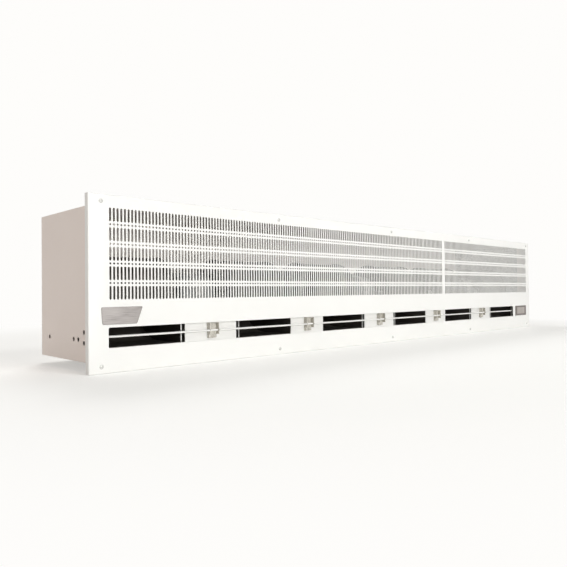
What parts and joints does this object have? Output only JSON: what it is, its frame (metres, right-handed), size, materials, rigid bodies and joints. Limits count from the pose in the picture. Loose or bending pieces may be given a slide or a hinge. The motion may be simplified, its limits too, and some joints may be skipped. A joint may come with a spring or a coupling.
{
  "type": "air curtain",
  "caption": "Recessed air curtain: flat flanged face with a slotted intake grille over a long discharge nozzle with a tilting vane, on a boxed cabinet.",
  "frame": {"origin": "middle of the back panel's outer side", "axes": "+X along the nozzle to the right as seen from the grille, +Y from the grilled face back to the back panel, +Z from the nozzle up to the grille"},
  "size_m": [1.864, 0.2744, 0.337],
  "materials": {
    "white_paint": "satin powder coat",
    "black_enamel": "semi-matt enamel",
    "galvanised": "galvanised, spangled",
    "bright_steel": "zinc plated",
    "motor_grey": "grey paint",
    "satin_aluminium": "satin",
    "dark_nylon": "matt"
  },
  "bodies": {
    "casing": {"face_panel": "white_paint", "top_panel": "white_paint", "bottom_panel": "white_paint", "left_end_panel": "white_paint", "right_end_panel": "white_paint", "back_panel": "white_paint", "nozzle_plate": "white_paint", "face_screw_1": "bright_steel", "face_screw_2": "bright_steel", "face_screw_3": "bright_steel", "face_screw_4": "bright_steel", "face_screw_5": "bright_steel", "face_screw_6": "bright_steel", "face_screw_7": "bright_steel", "face_screw_8": "bright_steel", "face_screw_9": "bright_steel", "face_screw_10": "bright_steel", "motor_1": "motor_grey", "motor_cradle_1": "galvanised", "motor_strap_1": "galvanised", "motor_2": "motor_grey", "motor_cradle_2": "galvanised", "motor_strap_2": "galvanised", "motor_3": "motor_grey", "motor_cradle_3": "galvanised", "motor_strap_3": "galvanised", "blower_housing_1": "black_enamel", "blower_housing_2": "black_enamel", "blower_housing_3": "black_enamel", "blower_housing_4": "black_enamel", "blower_housing_5": "black_enamel", "blower_housing_6": "black_enamel", "vane_bracket_1": "galvanised", "vane_bracket_2": "galvanised", "vane_bracket_3": "galvanised", "vane_bracket_4": "galvanised", "vane_bracket_5": "galvanised", "compartment_wall": "galvanised", "wire_raceway": "galvanised", "run_capacitor_1": "satin_aluminium", "run_capacitor_2": "satin_aluminium", "run_capacitor_3": "satin_aluminium", "terminal_block": "dark_nylon", "supply_bushing": "dark_nylon", "badge_plate": "satin_aluminium", "rating_plate": "dark_nylon"},
    "fan_set_1": {"motor_shaft_1": "bright_steel", "blower_wheel_1": "galvanised", "blower_wheel_2": "galvanised"},
    "fan_set_2": {"motor_shaft_2": "bright_steel", "blower_wheel_3": "galvanised", "blower_wheel_4": "galvanised"},
    "fan_set_3": {"motor_shaft_3": "bright_steel", "blower_wheel_5": "galvanised", "blower_wheel_6": "galvanised"},
    "vane": {"air_vane": "white_paint"}
  },
  "joints": [
    {"name": "fan_spin_1", "type": "hinge", "parent": "casing", "child": "fan_set_1", "pos_m": [-0.643, -0.157, -0.0247], "axis": [1, 0, 0], "continuous": true},
    {"name": "fan_spin_2", "type": "hinge", "parent": "casing", "child": "fan_set_2", "pos_m": [-0.0405, -0.157, -0.0247], "axis": [1, 0, 0], "continuous": true},
    {"name": "fan_spin_3", "type": "hinge", "parent": "casing", "child": "fan_set_3", "pos_m": [0.562, -0.157, -0.0247], "axis": [1, 0, 0], "continuous": true},
    {"name": "vane_tilt", "type": "hinge", "parent": "casing", "child": "vane", "pos_m": [0, -0.262, -0.1007], "axis": [1, 0, 0], "range_deg": [-20, 20]}
  ]
}
